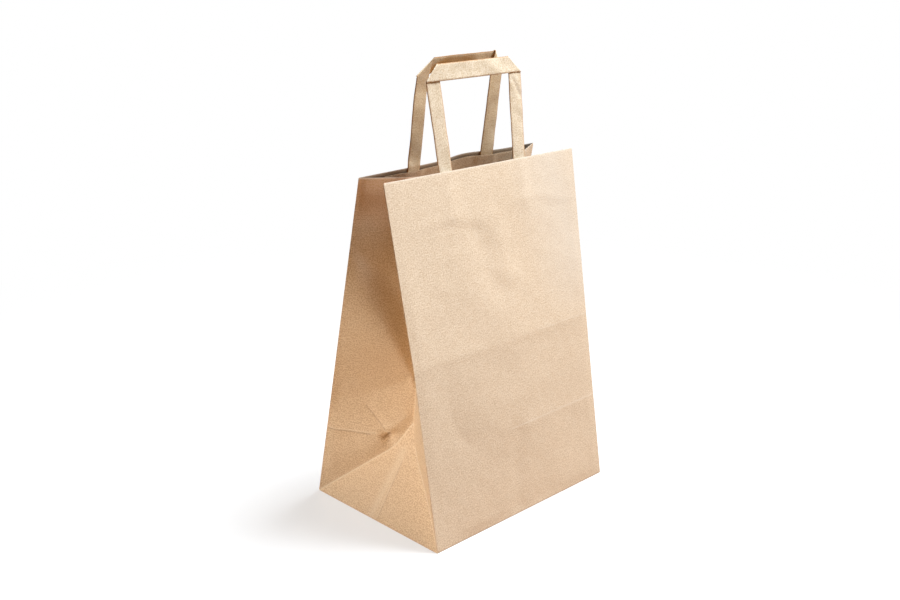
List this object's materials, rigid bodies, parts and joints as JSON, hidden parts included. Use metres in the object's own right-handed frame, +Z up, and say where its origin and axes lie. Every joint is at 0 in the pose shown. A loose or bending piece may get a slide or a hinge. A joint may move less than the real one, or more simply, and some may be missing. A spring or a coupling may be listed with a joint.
{
  "type": "paper bag with flat handles",
  "caption": "Plain kraft paper bag that stands open, with a block bottom, folded-in sides and flat paper strip handles pasted inside its mouth.",
  "frame": {"origin": "middle of the base, on the surface that the bag stands on", "axes": "+Z up through the mouth, -Y out of the front panel, +X along the front panel to the right as seen from the front"},
  "size_m": [0.22, 0.16, 0.4],
  "materials": {
    "kraft_sheet": "matte natural kraft paper",
    "kraft_strip": "matte natural kraft paper, several layers",
    "kraft_patch": "matte natural kraft paper"
  },
  "bodies": {
    "root": {"bag_body": "kraft_sheet", "front_handle": "kraft_strip", "rear_handle": "kraft_strip", "front_handle_patch": "kraft_patch", "rear_handle_patch": "kraft_patch"}
  },
  "joints": []
}
